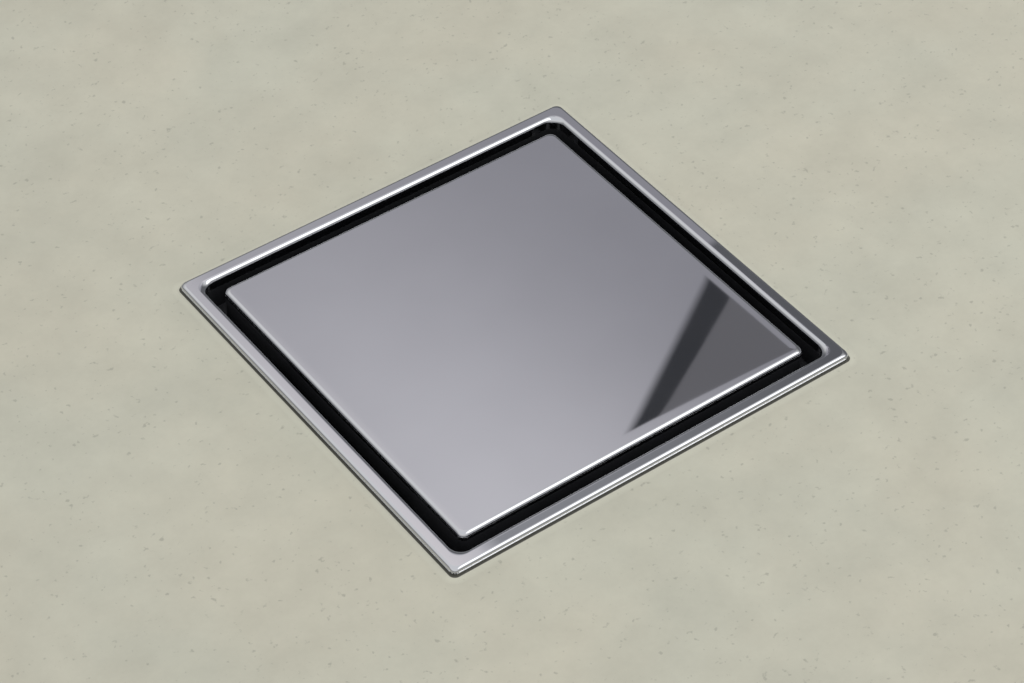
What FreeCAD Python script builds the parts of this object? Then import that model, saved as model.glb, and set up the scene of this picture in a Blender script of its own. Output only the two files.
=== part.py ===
import FreeCAD, Part
import math
import os

# Tile insert floor drain with a straight-down outlet, in millimetres.
# +Z is up. The origin is the centre of the outlet's lower end, and every level is worked out upwards from it.
# The steel frame is square to X and Y, and everything below its well is round about Z.
# The plate lies with its plain side up. Turned over with its carrier, it is a tray for a piece of tile.

Vector = FreeCAD.Vector

# Steel frame and cover plate
frame_side = 150.0  # over the flange, at floor level
flange_width = 5.3  # of the flange as seen from above
frame_sheet = 1.2  # stainless strip that the frame is folded from
lip_depth = 2.4  # turned-down outer edge, from the top of the flange to the floor
frame_corner = 1.8  # outer corner, in plan
opening_corner = 4.6  # inner corner, in plan
flange_bend = 1.1  # outer edge, in section
opening_bend = 1.5  # inner edge, in section, where the flange rolls down into the wall
frame_wall = 4.0  # turned-down inner edge, from the top of the flange
plate_gap = 4.8  # slot all round the cover plate
plate_sheet = 1.2
plate_corner = 2.4
plate_bend = 1.3
inner_bend = 0.4  # inside of the same bend
plate_skirt = 2.6  # turned-down edge of the plate, from its top
carrier_wall = 2.6  # moulded rim under the plate
tile_depth = 9.0  # inside the tray that plate and rim make when they are turned over
plate_sink = 0.5  # plate below the flange

# Corner shelves, their screws and the rubber rests
shelf_leg = 37.0
shelf_thickness = 2.0
rest_height = 1.0
rest_radius = 4.0
rest_inset = 3.4  # from the plate's edges
frame_screw_inset = 15.2  # from the opening's walls
frame_screw_radius = 1.95
frame_screw_length = 10.0

# Moulded well under the frame
well_wall = 2.0
well_floor = 2.6
well_slope = 0.1  # fall of the floor for each millimetre towards the middle
well_depth = 17.2  # from the neck's top to the corner shelves
well_corner = 6.0
key_rib_width = 1.8  # ribs round the outside, which the mortar grips
key_rib_height = 2.0
spigot_wall = 3.2
spigot_length = 24.0
ring_groove = 1.6  # groove of the round seal, depth and a little more than half its width

# Neck that slides in the body and carries the well
neck_radius = 51.0
neck_wall = 2.6
neck_raise = 25.0  # travel up from rest
neck_lower = 10.0  # travel down from rest
neck_hold = 9.0  # length left in the seal at the top of the travel
fit = 0.1  # radial play of a running fit
press = 0.02  # play of pieces that are pressed or screwed together
lift_gap = 2.0  # left between pieces that pass each other at the limits

# Body, from the outlet up
outlet_radius = 25.0  # outside, for a 50 mm pipe socket
outlet_wall = 2.4
outlet_length = 38.0
body_wall = 2.8
cone_height = 10.0
bowl_height = 22.0
weld_depth = 8.0  # bowl's rim inside the collar's foot
stop_height = 2.5  # shoulder under the collar's foot
seal_depth = 3.2  # groove of the lip seal, into the collar
seal_height = 6.0
collar_wall = 2.9
collar_rise = 10.0  # collar's head above the flange

# Clamping flange
ring_width = 24.0  # of the clamping ring
flange_thickness = 4.0
hub_wall = 2.4  # sleeve under the flange, welded round the collar
gasket_thickness = 1.5
ring_thickness = 2.0
ring_turn_up = 2.0  # inner edge, above the ring's top
ring_play = 1.8  # ring outside the collar
ring_margin = 5.0  # flange outside the ring
clamp_count = 6
clamp_screw_radius = 2.45
clamp_screw_length = 14.0
clamp_head_radius = 4.6
clamp_head_height = 2.9
washer_radius = 5.3
washer_thickness = 1.0
insert_radius = 3.6
insert_length = 9.5
boss_wall = 2.2
rib_count = 12
rib_thickness = 2.4
rib_height = 22.0
lug_count = 4
lug_reach = 6.0  # from the flange's edge to the middle of the anchor hole
lug_radius = 7.0
anchor_hole_radius = 3.0

# Lift-out trap: cup, bell, bridge and sieve
rim_clearance = 0.9  # cup's rim inside the well's spigot
rim_flare = 3.0
cup_wall = 1.8
hanger_thickness = 3.0  # ring that hangs the cup on the body's ledge
hanger_sleeve = 4.0  # its sleeve round the cup, above the ring
cup_seal_thickness = 2.0
cup_clearance = 2.0  # cup above the body's cone
bowl_gap = 3.5  # bowl outside the cup
riser_seat = 1.0  # step in the cup's floor that the riser stands on
socket_height = 5.5  # short sleeve in the cup, which holds the riser's foot
socket_wall = 1.8
water_gap = 10.2  # between bell and cup
riser_gap = 9.6  # between riser and bell
bell_wall = 1.8
bell_foot = 4.0  # bell's rim above the cup's floor
water_depth = 50.0  # depth of the water seal
float_travel = 8.0
fin_count = 4
fin_thickness = 1.6
fin_height = 34.0
bell_washer_thickness = 2.0
retainer_thickness = 1.2
guide_radius = 3.0
guide_wall = 1.6
guide_depth = 18.0
guide_rim = 1.5  # rim that sinks flush into the bell's crown
arm_count = 3
arm_width = 7.0
arm_thickness = 2.6
bridge_rise = 3.2  # underside of the arms above the cup's rim
hub_radius = 6.5
sieve_sheet = 1.0
sieve_height = 9.5
hole_radius = 2.6
hole_rows = ((14.0, 8), (23.0, 13), (32.0, 18))  # circle radius and number of holes
knob_radius = 7.0
knob_height = 9.0

# Radii that follow from the sizes above
frame_screw_head = frame_screw_radius + shelf_thickness  # a right-angled head as deep as the shelf
opening_half = frame_side / 2 - flange_width
plate_half = opening_half - plate_gap
well_inner = opening_half + frame_sheet + fit
well_half = well_inner + well_wall
collar_bore = neck_radius + fit
body_radius = collar_bore + body_wall
collar_radius = collar_bore + seal_depth + collar_wall
neck_bore = neck_radius - neck_wall
spigot_radius = neck_bore - fit
spigot_bore = spigot_radius - spigot_wall
rim_radius = spigot_bore - rim_clearance
cup_radius = rim_radius - rim_flare
cup_bore = cup_radius - cup_wall
bell_radius = cup_bore - water_gap
bell_bore = bell_radius - bell_wall
riser_radius = bell_bore - riser_gap
riser_bore = riser_radius - cup_wall
socket_radius = guide_radius + fit + guide_wall
bowl_bore = cup_radius + bowl_gap
ring_inner = collar_radius + ring_play
ring_outer = ring_inner + ring_width
flange_radius = ring_outer + ring_margin
clamp_circle = (ring_inner + ring_outer) / 2
anchor_circle = flange_radius + lug_reach

# Levels that follow, from the outlet's end up
cone_top = outlet_length + cone_height
ledge_level = cone_top + bowl_height
weld_level = ledge_level - weld_depth
cup_bottom = cone_top + cup_clearance
hanger_bottom = ledge_level + cup_seal_thickness
hanger_top = hanger_bottom + hanger_thickness
neck_bottom = hanger_top + lift_gap + 1.0 + neck_lower
body_top = neck_bottom + neck_raise + neck_hold
neck_top = body_top + neck_lower + lift_gap
flange_top = body_top - collar_rise
flange_bottom = flange_top - flange_thickness
gasket_top = flange_top + gasket_thickness
ring_top = gasket_top + ring_thickness
riser_foot = cup_bottom + riser_seat
bell_rim = cup_bottom + cup_wall + bell_foot
riser_top = bell_rim + water_depth
crown_bottom = riser_top + bell_washer_thickness + press
bell_top = crown_bottom + bell_wall
rim_seat = crown_bottom + bell_wall / 2
arm_bottom = bell_top + float_travel + 0.4
arm_top = arm_bottom + arm_thickness
rim_top = arm_bottom - bridge_rise
well_bottom = neck_top + fit
shelf_level = well_bottom + well_depth
rest_bottom = shelf_level + shelf_thickness
plate_bottom = rest_bottom + rest_height
plate_top = plate_bottom + tile_depth + plate_sheet
frame_top = plate_top + plate_sink
floor_level = frame_top - lip_depth
wall_end = frame_top - frame_wall
skirt_end = plate_top - plate_skirt


def outline(points):
    """Closed face in the XZ plane through (x, z) or (x, z, corner radius) points, with tangent arcs."""
    corners = [Vector(p[0], 0, p[1]) for p in points]
    radii = [p[2] if len(p) > 2 else 0.0 for p in points]
    stretches = []
    for i, corner in enumerate(corners):
        back = (corners[i - 1] - corner).normalize()
        onward = (corners[(i + 1) % len(corners)] - corner).normalize()
        half_angle = back.getAngle(onward) / 2
        reach = radii[i] / math.tan(half_angle)
        middle = None
        if radii[i]:
            inward = (back + onward).normalize()
            middle = corner + inward * (radii[i] / math.sin(half_angle) - radii[i])
        stretches.append((corner + back * reach, middle, corner + onward * reach))
    edges = []
    for i, (first, middle, last) in enumerate(stretches):
        if middle:
            edges.append(Part.Arc(first, middle, last).toShape())
        following = stretches[(i + 1) % len(stretches)][0]
        if last.distanceToPoint(following) > 1e-6:
            edges.append(Part.LineSegment(last, following).toShape())
    return Part.Face(Part.Wire(edges))


def turned(points):
    """Solid turned about Z from a section of (radius, level) points."""
    return outline(points).revolve(Vector(0, 0, 0), Vector(0, 0, 1), 360)


def rod(radius, bottom, top, x=0.0, y=0.0):
    return Part.makeCylinder(radius, top - bottom, Vector(x, y, bottom))


def tube(outer, inner, bottom, top, x=0.0, y=0.0):
    return rod(outer, bottom, top, x, y).cut(rod(inner, bottom - 1, top + 1, x, y))


def block(x_low, x_high, y_low, y_high, z_low, z_high):
    size = (x_high - x_low, y_high - y_low, z_high - z_low)
    return Part.makeBox(*size, Vector(x_low, y_low, z_low))


def square(half, corner, bottom, top):
    """Upright square bar on the Z axis, with rounded corners in plan."""
    bar = block(-half, half, -half, half, bottom, top)
    upright = [e for e in bar.Edges if abs(e.Vertexes[0].Z - e.Vertexes[1].Z) > 1e-6]
    return bar.makeFillet(corner, upright)


def edges_at(shape, level, low=0.0, high=1e9):
    """Edges that lie flat at a level, with their furthest point from both axes between low and high."""
    found = []
    for edge in shape.Edges:
        box = edge.BoundBox
        reach = max(abs(box.XMin), abs(box.XMax), abs(box.YMin), abs(box.YMax))
        if abs(box.ZMin - level) < 1e-4 and abs(box.ZMax - level) < 1e-4 and low < reach < high:
            found.append(edge)
    return found


def around(shape, count, start=0.0):
    """Copies of a shape evenly round the Z axis, from a start angle in degrees."""
    copies = []
    for i in range(count):
        copy = shape.copy()
        copy.rotate(Vector(0, 0, 0), Vector(0, 0, 1), start + 360.0 * i / count)
        copies.append(copy)
    return copies


def four_corners(make, distance):
    """One piece in each corner of the square, from a function of the corner's X and Y."""
    return [make(sx * distance, sy * distance) for sx, sy in ((1, 1), (-1, 1), (-1, -1), (1, -1))]


def fused(first, others):
    return first.multiFuse(others).removeSplitter()


def save(name, shapes):
    """One file for a node: a single solid, or a group of separate ones."""
    solids = [solid for shape in shapes for solid in shape.Solids]
    shape = solids[0] if len(solids) == 1 else Part.makeCompound(solids)
    shape.exportStep("parts/" + name + ".step")


def top_frame():
    """Strip folded into a square: lip at the floor, flange, rolled edge and wall round the opening."""
    half = frame_side / 2
    frame = square(half, frame_corner, floor_level, frame_top)
    frame = frame.cut(square(half - frame_sheet, frame_corner / 2, floor_level - 1, frame_top - frame_sheet))
    wall_corner = opening_corner + frame_sheet
    wall = square(opening_half + frame_sheet, wall_corner, wall_end, frame_top - frame_sheet / 2)
    frame = frame.fuse(wall)
    frame = frame.cut(square(opening_half, opening_corner, wall_end - 1, frame_top + 1)).removeSplitter()
    outside = edges_at(frame, frame_top, half - 0.1)
    frame = frame.makeFillet(flange_bend, outside)
    mouth = edges_at(frame, frame_top, 0, opening_half + 0.1)
    return frame.makeFillet(opening_bend, mouth)


def countersink(radius, head, bottom, top):
    """Round hole that widens by as much as it rises, up to the head's radius at the top."""
    return turned([(0, bottom), (radius, bottom), (radius, top - (head - radius)), (head, top), (0, top)])


def corner_shelves():
    """Four moulded triangles screwed on the well's bosses, which carry the plate."""
    inside = square(opening_half - fit, opening_corner, shelf_level, rest_bottom)
    tip = opening_half + 1.0
    leg = tip - shelf_leg - 1.0
    corners = [Vector(tip, tip, shelf_level), Vector(leg, tip, shelf_level), Vector(tip, leg, shelf_level)]
    triangle = Part.Face(Part.makePolygon(corners + corners[:1])).extrude(Vector(0, 0, shelf_thickness))
    shelf = triangle.common(inside)
    hole = countersink(frame_screw_radius + 0.25, frame_screw_head + fit, shelf_level - 1, rest_bottom)
    place = opening_half - frame_screw_inset
    hole.translate(Vector(place, place, 0))
    return around(shelf.cut(hole), 4)


def cross_recess(width, thickness, depth, top, x, y):
    """Cross that a screwdriver fits, cut down from the screw's top."""
    long, short = width / 2, thickness / 2
    first = block(x - long, x + long, y - short, y + short, top - depth, top + 1)
    return first.fuse(block(x - short, x + short, y - long, y + long, top - depth, top + 1))


def frame_screw(x, y):
    shank = frame_screw_radius
    head = frame_screw_head
    tip = rest_bottom - frame_screw_length
    section = [(0, tip), (shank - 0.8, tip), (shank, tip + 1.4), (shank, rest_bottom - (head - shank)),
               (head, rest_bottom), (0, rest_bottom)]
    screw = turned(section)
    screw.translate(Vector(x, y, 0))
    return screw.cut(cross_recess(head, 0.8, 1.1, rest_bottom, x, y))


def rest(x, y):
    disc = rod(rest_radius, rest_bottom, plate_bottom, x, y)
    return disc.makeChamfer(0.2, edges_at(disc, plate_bottom))


def cover_plate():
    """Polished sheet with four turned-down edges, which is pressed on the carrier."""
    plate = square(plate_half, plate_corner, skirt_end, plate_top)
    plate = plate.makeFillet(plate_bend, edges_at(plate, plate_top))
    under = plate_top - plate_sheet
    inside = square(plate_half - plate_sheet, plate_corner - plate_sheet, skirt_end - 1, under)
    return plate.cut(inside.makeFillet(inner_bend, edges_at(inside, under)))


def plate_carrier():
    """Moulded rim that stands on the rests. Turned over, it holds a cut tile on the back of the plate."""
    rim = square(plate_half, plate_corner, plate_bottom, skirt_end)
    plug_top = plate_top - plate_sheet
    plug = square(plate_half - plate_sheet - press, plate_corner - plate_sheet, skirt_end - 1, plug_top)
    plug = plug.makeChamfer(inner_bend + 0.1, edges_at(plug, plug_top))
    inside = square(plate_half - carrier_wall, plate_corner - plate_sheet, plate_bottom - 1, plug_top + 1)
    carrier = rim.fuse(plug).cut(inside).removeSplitter()
    foot = edges_at(carrier, plate_bottom, plate_half - 0.1)
    return carrier.makeChamfer(0.5, foot)


def frame_well():
    """Square moulded well: its floor falls to a round spigot, with bosses for the screws and mortar ribs."""
    far = 2 * well_half
    top = frame_top - frame_sheet
    rise = well_slope * (far - spigot_bore)
    under = turned([
        (0, well_bottom), (spigot_radius, well_bottom), (far, well_bottom + rise), (far, top), (0, top)])
    over_level = well_bottom + well_floor
    over = turned([
        (0, over_level), (spigot_bore, over_level), (far, over_level + rise), (far, top + 1), (0, top + 1)])
    well = square(well_half, well_corner, well_bottom, top)
    for level in (well_bottom + well_depth * 0.62, shelf_level + 1.6):
        half = well_half + key_rib_width
        well = well.fuse(square(half, well_corner + key_rib_width, level, level + key_rib_height))
    well = well.common(under)
    well = well.cut(square(opening_half, opening_corner, well_bottom, top + 1).common(over))
    corner = opening_corner + frame_sheet + fit
    well = well.cut(square(well_inner, corner, wall_end, top + 1))
    boss_radius = frame_screw_radius + boss_wall + 0.9
    place = opening_half - frame_screw_inset
    posts = four_corners(lambda x, y: rod(boss_radius, well_bottom + 2, shelf_level, x, y), place)
    start = place * math.sqrt(2)
    web = block(start, start + well_inner, -0.9, 0.9, well_bottom + 2, shelf_level)
    posts = posts + around(web, 4, 45)
    inside = under.common(square(well_half - 0.5, corner, well_bottom, shelf_level))
    well = well.multiFuse([post.common(inside) for post in posts])
    well = well.fuse(rod(spigot_radius, well_bottom - spigot_length, well_bottom + 0.5))
    well = well.cut(rod(spigot_bore, well_bottom - spigot_length - 1, over_level + 1))
    pilots = four_corners(
        lambda x, y: rod(frame_screw_radius + press, rest_bottom - frame_screw_length - 1, top, x, y), place)
    well = well.cut(Part.makeCompound(pilots))
    low, high = ring_groove_levels()
    well = well.cut(tube(spigot_radius + 1, spigot_radius - ring_groove, low, high)).removeSplitter()
    end = edges_at(well, well_bottom - spigot_length, spigot_radius - 0.1)
    return well.makeChamfer(1.0, end)


def ring_groove_levels():
    middle = well_bottom - spigot_length * 0.6
    return middle - ring_groove * 0.62, middle + ring_groove * 0.62


def spigot_seal():
    """Round ring in the spigot's groove, which seals and steadies the well as it turns in the neck."""
    low, high = ring_groove_levels()
    radius = ring_groove / 2
    ring = Part.makeTorus(spigot_radius - ring_groove + radius + press, radius)
    ring.translate(Vector(0, 0, (low + high) / 2))
    return ring


def extension_neck():
    """Plain tube with a lead-in at both ends: it slides in the body and the well turns in it."""
    return turned([
        (neck_bore, neck_bottom), (neck_radius - 1.2, neck_bottom), (neck_radius, neck_bottom + 3),
        (neck_radius, neck_top, 0.5), (neck_bore + 0.6, neck_top), (neck_bore, neck_top - 1.2)])


def seal_levels():
    top = body_top - lift_gap
    return top - seal_height, top


def neck_seal():
    """Two-lipped rubber ring in the body's collar."""
    low, high = seal_levels()
    low, high = low + press, high - press
    back = collar_bore + seal_depth - press
    lip = neck_radius + fit / 2
    waist = collar_bore + seal_depth * 0.45
    return turned([
        (back, low), (back, high), (waist, high), (lip, high - 1.4), (waist, high - 2.3),
        (waist, low + 2.3), (lip, low + 1.4), (waist, low)])


def clamp_places():
    return [(clamp_circle * math.cos(a), clamp_circle * math.sin(a))
            for a in (2 * math.pi * (i + 0.5) / clamp_count for i in range(clamp_count))]


def outlet_bowl():
    """Outlet spigot, cone and bowl, with the trap's ledge and a shoulder for the collar's foot."""
    outlet_bore = outlet_radius - outlet_wall
    bowl_radius = bowl_bore + body_wall
    weld_radius = collar_bore - press
    return turned([
        (outlet_bore, 0), (outlet_radius - 0.8, 0), (outlet_radius, 1.6),
        (outlet_radius, outlet_length - 2.0, 3), (bowl_radius, cone_top - 2.0, 3),
        (bowl_radius, weld_level - 2 * stop_height, 2), (body_radius, weld_level - stop_height),
        (body_radius, weld_level), (weld_radius, weld_level), (weld_radius, ledge_level),
        (bowl_bore, ledge_level), (bowl_bore, cone_top, 3), (outlet_bore, outlet_length, 3)])


def seal_collar():
    """Tube welded over the bowl's rim: the neck slides in it, past the lip seal in its thick head."""
    low, high = seal_levels()
    groove = collar_bore + seal_depth
    return turned([
        (collar_bore, weld_level), (body_radius, weld_level), (body_radius, flange_top),
        (collar_radius, flange_top), (collar_radius, body_top, 1), (collar_bore + 1.0, body_top),
        (collar_bore, body_top - 1.0), (collar_bore, high), (groove, high), (groove, low),
        (collar_bore, low)])


def clamp_flange():
    """Flange welded under the collar's head, with screw bosses, ribs underneath and lugs on its edge."""
    bore = body_radius + press
    sleeve_radius = bore + hub_wall
    plate = turned([
        (bore, flange_bottom - rib_height), (sleeve_radius, flange_bottom - rib_height),
        (sleeve_radius, flange_bottom), (flange_radius, flange_bottom, 1), (flange_radius, flange_top, 1),
        (bore, flange_top)])
    boss_radius = insert_radius + boss_wall
    boss_bottom = flange_top - clamp_screw_length - 2.0
    added = [turned_boss(boss_radius, boss_bottom, x, y) for x, y in clamp_places()]
    added += gussets(sleeve_radius)
    added += around(anchor_lug(), lug_count, 45)
    flange = fused(plate, added)
    holes = []
    for x, y in clamp_places():
        holes.append(rod(insert_radius + press, flange_top - insert_length - press, flange_top + 1, x, y))
        holes.append(rod(clamp_screw_radius + fit, boss_bottom + 1.2, flange_top, x, y))
    holes += around(rod(anchor_hole_radius, flange_bottom - 1, flange_top + 1, anchor_circle), lug_count, 45)
    return flange.cut(Part.makeCompound(holes))


def turned_boss(radius, bottom, x, y):
    boss = turned([(0, bottom), (radius, bottom, 1.2), (radius, flange_top - 1), (0, flange_top - 1)])
    boss.translate(Vector(x, y, 0))
    return boss


def gussets(sleeve_radius):
    """Triangular ribs between the flange and its sleeve, at even turns between the bosses."""
    inner = sleeve_radius - 0.5
    outer = flange_radius - 4.0
    half = rib_thickness / 2
    rib = outline([(inner, flange_bottom - rib_height), (outer, flange_bottom - 1, 4),
                   (outer, flange_bottom + 1), (inner, flange_bottom + 1)])
    rib.translate(Vector(0, -half, 0))
    rib = rib.extrude(Vector(0, rib_thickness, 0))
    between = 180.0 / clamp_count
    turns = [360.0 * i / rib_count for i in range(rib_count)]
    places = [turn for turn in turns if abs((turn % (2 * between)) - between) > 1e-6]
    return [around(rib, 1, turn)[0] for turn in places]


def anchor_lug():
    """Ear on the flange's edge with a round end, for the screw that holds the body while the mortar sets."""
    ear = rod(lug_radius, flange_bottom, flange_top, anchor_circle)
    root = block(flange_radius - 12, anchor_circle, -lug_radius, lug_radius, flange_bottom, flange_top)
    return ear.fuse(root)


def pierced(plate, radius):
    """A flat ring with the clamping screws' holes."""
    return plate.cut(Part.makeCompound([rod(radius, 0, frame_top, x, y) for x, y in clamp_places()]))


def flange_gasket():
    return pierced(tube(ring_outer + 1.5, ring_inner, flange_top, gasket_top), clamp_screw_radius + 0.3)


def clamp_ring():
    """Pressed steel ring with an inner edge that turns up and stiffens it."""
    inner = ring_inner
    outer = ring_outer
    edge = inner + ring_thickness * 0.7
    turned_up = ring_top + ring_turn_up
    ring = turned([
        (inner, gasket_top, ring_thickness), (outer, gasket_top, 0.5), (outer, ring_top, 0.5),
        (edge, ring_top, 0.6), (edge, turned_up, 0.4), (inner, turned_up, 0.4)])
    return pierced(ring, clamp_screw_radius + 0.35)


def clamp_washer(x, y):
    return tube(washer_radius, clamp_screw_radius + 0.2, ring_top, ring_top + washer_thickness, x, y)


def clamp_insert(x, y):
    """Brass sleeve moulded into its boss, with a groove round its middle that the plastic fills."""
    bottom = flange_top - insert_length
    middle = flange_top - insert_length / 2
    waist = insert_radius - 0.6
    bore = clamp_screw_radius + press
    insert = turned([
        (bore, bottom), (insert_radius, bottom), (insert_radius, middle - 1), (waist, middle - 0.6),
        (waist, middle + 0.6), (insert_radius, middle + 1), (insert_radius, flange_top), (bore, flange_top)])
    insert.translate(Vector(x, y, 0))
    return insert


def clamp_screw(x, y):
    seat = ring_top + washer_thickness
    tip = flange_top - clamp_screw_length + 2.0
    shank = clamp_screw_radius
    head_top = seat + clamp_head_height
    screw = turned([
        (0, tip), (shank - 0.6, tip), (shank, tip + 0.8), (shank, seat), (clamp_head_radius, seat),
        (clamp_head_radius, head_top, 1.6), (0, head_top)])
    screw.translate(Vector(x, y, 0))
    return screw.cut(cross_recess(clamp_head_radius * 1.1, 1.1, 1.7, head_top, x, y))


def trap_cup():
    """Lift-out cup with a flared rim, and a sleeve in its floor that holds the riser."""
    floor = cup_bottom + cup_wall
    flare_level = rim_top - rim_flare
    socket = riser_radius + press
    socket_top = cup_bottom + socket_height
    return turned([
        (riser_bore, cup_bottom), (cup_radius, cup_bottom, 3), (cup_radius, flare_level),
        (rim_radius, rim_top), (rim_radius - cup_wall, rim_top), (cup_bore, flare_level),
        (cup_bore, floor, 2), (socket + socket_wall, floor), (socket + socket_wall, socket_top),
        (socket, socket_top), (socket, riser_foot), (riser_bore, riser_foot)])


def cup_hanger():
    """Ring welded round the cup by its sleeve, which hangs the cup on the body's ledge."""
    bore = cup_radius + press
    sleeve = bore + cup_wall
    edge = collar_bore - 1.5
    sleeve_top = hanger_top + hanger_sleeve
    return turned([
        (bore, hanger_bottom), (edge, hanger_bottom, 0.5), (edge, hanger_top, 1), (sleeve, hanger_top, 1.5),
        (sleeve, sleeve_top, 0.8), (bore, sleeve_top)])


def trap_riser():
    """Tube in the cup's sleeve, whose rounded upper end the water flows over and the bell's washer closes."""
    return turned([
        (riser_bore, riser_foot), (riser_radius, riser_foot),
        (riser_radius, riser_top, 0.5), (riser_bore, riser_top, 0.7)])


def cup_seal():
    return tube(collar_bore - 1.6, bowl_bore + 0.4, ledge_level, hanger_bottom)


def trap_bell():
    """Float bell: an upturned cup over the riser, with fins and a stepped hole for its guide socket."""
    hole = socket_radius + press
    bell = turned([
        (bell_bore, bell_rim), (bell_radius, bell_rim, 0.6), (bell_radius, bell_top - 4.0, 5),
        (bell_radius - 5.0, bell_top, 5), (hole + guide_rim, bell_top), (hole + guide_rim, rim_seat),
        (hole, rim_seat), (hole, crown_bottom), (bell_radius - 6.0, crown_bottom, 3),
        (bell_bore, bell_top - 5.0, 3)])
    reach = cup_bore - 2 * fit
    half = fin_thickness / 2
    fin = block(bell_radius - 0.8, reach, -half, half, bell_rim, bell_rim + fin_height)
    ends = [e for e in fin.Edges if abs(e.BoundBox.XMin - reach) < 1e-4 and e.BoundBox.ZLength < 1e-4]
    fin = fin.makeChamfer(2.5, ends)
    return fused(bell, around(fin, fin_count, 45))


def guide_socket():
    """Blind sleeve welded into the bell's crown, which runs on the guide pin and carries the washer."""
    bore = guide_radius + fit
    floor = crown_bottom - guide_depth + bell_wall
    return turned([
        (bore, bell_top), (bore, floor), (0, floor), (0, floor - guide_wall),
        (socket_radius, floor - guide_wall, 1.2), (socket_radius, rim_seat),
        (socket_radius + guide_rim, rim_seat), (socket_radius + guide_rim, bell_top)])


def bell_washer():
    return tube(riser_radius + 3.0, socket_radius + press, riser_top + press, crown_bottom)


def washer_retainer():
    """Push-on ring that keeps the washer up against the bell's crown, inside the riser."""
    hole = socket_radius + press
    outer = min(hole + 4.0, riser_bore - 2.0)
    return tube(outer, hole, riser_top - retainer_thickness, riser_top)


def trap_bridge():
    """Three-armed bridge pushed into the cup's rim, which stops the bell's rise and holds its guide pin."""
    seat = cup_bore - fit
    flare_level = rim_top - rim_flare
    low = flare_level - 2.0
    ring_bore = seat - 2.6
    lip = seat + rim_flare - 0.4
    ring = turned([
        (ring_bore, low), (seat, low), (seat, flare_level + fit),
        (lip, rim_top - 0.4 + fit), (lip, rim_top), (ring_bore, rim_top)])
    knee = bell_radius
    span = turned([
        (0, arm_bottom), (knee, arm_bottom), (ring_bore + 1.0, rim_top - arm_thickness),
        (ring_bore + 1.0, rim_top), (knee + 1.0, arm_top), (0, arm_top)])
    bar = block(0, seat, -arm_width / 2, arm_width / 2, low, arm_top + 1)
    arms = [span.common(copy) for copy in around(bar, arm_count, 90)]
    hub = rod(hub_radius, arm_bottom, arm_top + 1.0)
    bridge = fused(ring, arms + [hub])
    return bridge.cut(rod(guide_radius - press, arm_bottom - 1, arm_top + 2))


def guide_pin():
    """Steel pin pressed into the bridge's hub, on which the bell rises."""
    top = arm_top + 1.0
    tip = crown_bottom - guide_depth + bell_wall + float_travel + 0.6
    lower = rod(guide_radius, tip, arm_bottom)
    lower = lower.makeChamfer(0.6, edges_at(lower, tip))
    return lower.fuse(rod(guide_radius - press, arm_bottom - 0.1, top)).removeSplitter()


def hair_sieve():
    """Pressed sieve like a shallow hat: its brim lies on the cup's rim and its crown is pierced all over."""
    foot = cup_bore + 0.6
    crown = foot - 2.0
    top = rim_top + sieve_height
    sheet = sieve_sheet
    sieve = turned([
        (0, top), (crown, top, 2.5), (foot, rim_top + sheet, 1), (rim_radius, rim_top + sheet, 0.4),
        (rim_radius, rim_top, 0.4), (foot - sheet, rim_top, 1.4), (crown - sheet, top - sheet, 1.5),
        (0, top - sheet)])
    holes = [rod(knob_stud_radius(), top - 3, top + 1)]
    for circle, count in hole_rows:
        spread = circle * crown / 38.0
        holes += around(rod(hole_radius, top - 3, top + 1, spread), count, 90)
    slot = block(crown - 4, foot + 2, -1.5, 1.5, rim_top + 2.6, top - 3.4)
    holes += around(slot, 24)
    return sieve.cut(Part.makeCompound(holes))


def knob_stud_radius():
    return knob_radius * 0.4


def sieve_knob():
    """Moulded knob with a waist for two fingers, whose stud is headed over under the sieve."""
    seat = rim_top + sieve_height
    stud = knob_stud_radius() - press
    below = seat - sieve_sheet
    top = seat + knob_height
    return turned([
        (0, below - 0.8), (stud + 1.2, below - 0.8), (stud + 1.2, below), (stud, below), (stud, seat),
        (knob_radius * 0.8, seat), (knob_radius * 0.55, seat + knob_height * 0.45, 2),
        (knob_radius, top - 2.2, 1), (knob_radius - 1.0, top, 0.8), (0, top)])


screw_place = opening_half - frame_screw_inset
rest_place = plate_half - rest_inset

nodes = {
    "top_frame": [top_frame()],
    "corner_shelves": corner_shelves(),
    "frame_screws": four_corners(frame_screw, screw_place),
    "rest_pads": four_corners(rest, rest_place),
    "cover_plate": [cover_plate()],
    "plate_carrier": [plate_carrier()],
    "frame_well": [frame_well()],
    "spigot_seal": [spigot_seal()],
    "extension_neck": [extension_neck()],
    "neck_seal": [neck_seal()],
    "outlet_bowl": [outlet_bowl()],
    "seal_collar": [seal_collar()],
    "clamp_flange": [clamp_flange()],
    "flange_gasket": [flange_gasket()],
    "clamp_ring": [clamp_ring()],
    "clamp_washers": [clamp_washer(x, y) for x, y in clamp_places()],
    "clamp_screws": [clamp_screw(x, y) for x, y in clamp_places()],
    "clamp_inserts": [clamp_insert(x, y) for x, y in clamp_places()],
    "cup_seal": [cup_seal()],
    "trap_cup": [trap_cup()],
    "cup_hanger": [cup_hanger()],
    "trap_riser": [trap_riser()],
    "trap_bell": [trap_bell()],
    "guide_socket": [guide_socket()],
    "bell_washer": [bell_washer()],
    "washer_retainer": [washer_retainer()],
    "trap_bridge": [trap_bridge()],
    "guide_pin": [guide_pin()],
    "hair_sieve": [hair_sieve()],
    "sieve_knob": [sieve_knob()],
}

os.makedirs("parts", exist_ok=True)
for name, shapes in nodes.items():
    save(name, shapes)
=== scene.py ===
"""Looks of a tile insert floor drain: frame and plate as folded sheet, and a finish for each piece."""
import math

import bpy
import numpy as np
from bpy.props import FloatProperty, FloatVectorProperty, PointerProperty
from bpy.types import Operator, Panel, PropertyGroup
from mathutils import Matrix, Vector


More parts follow.
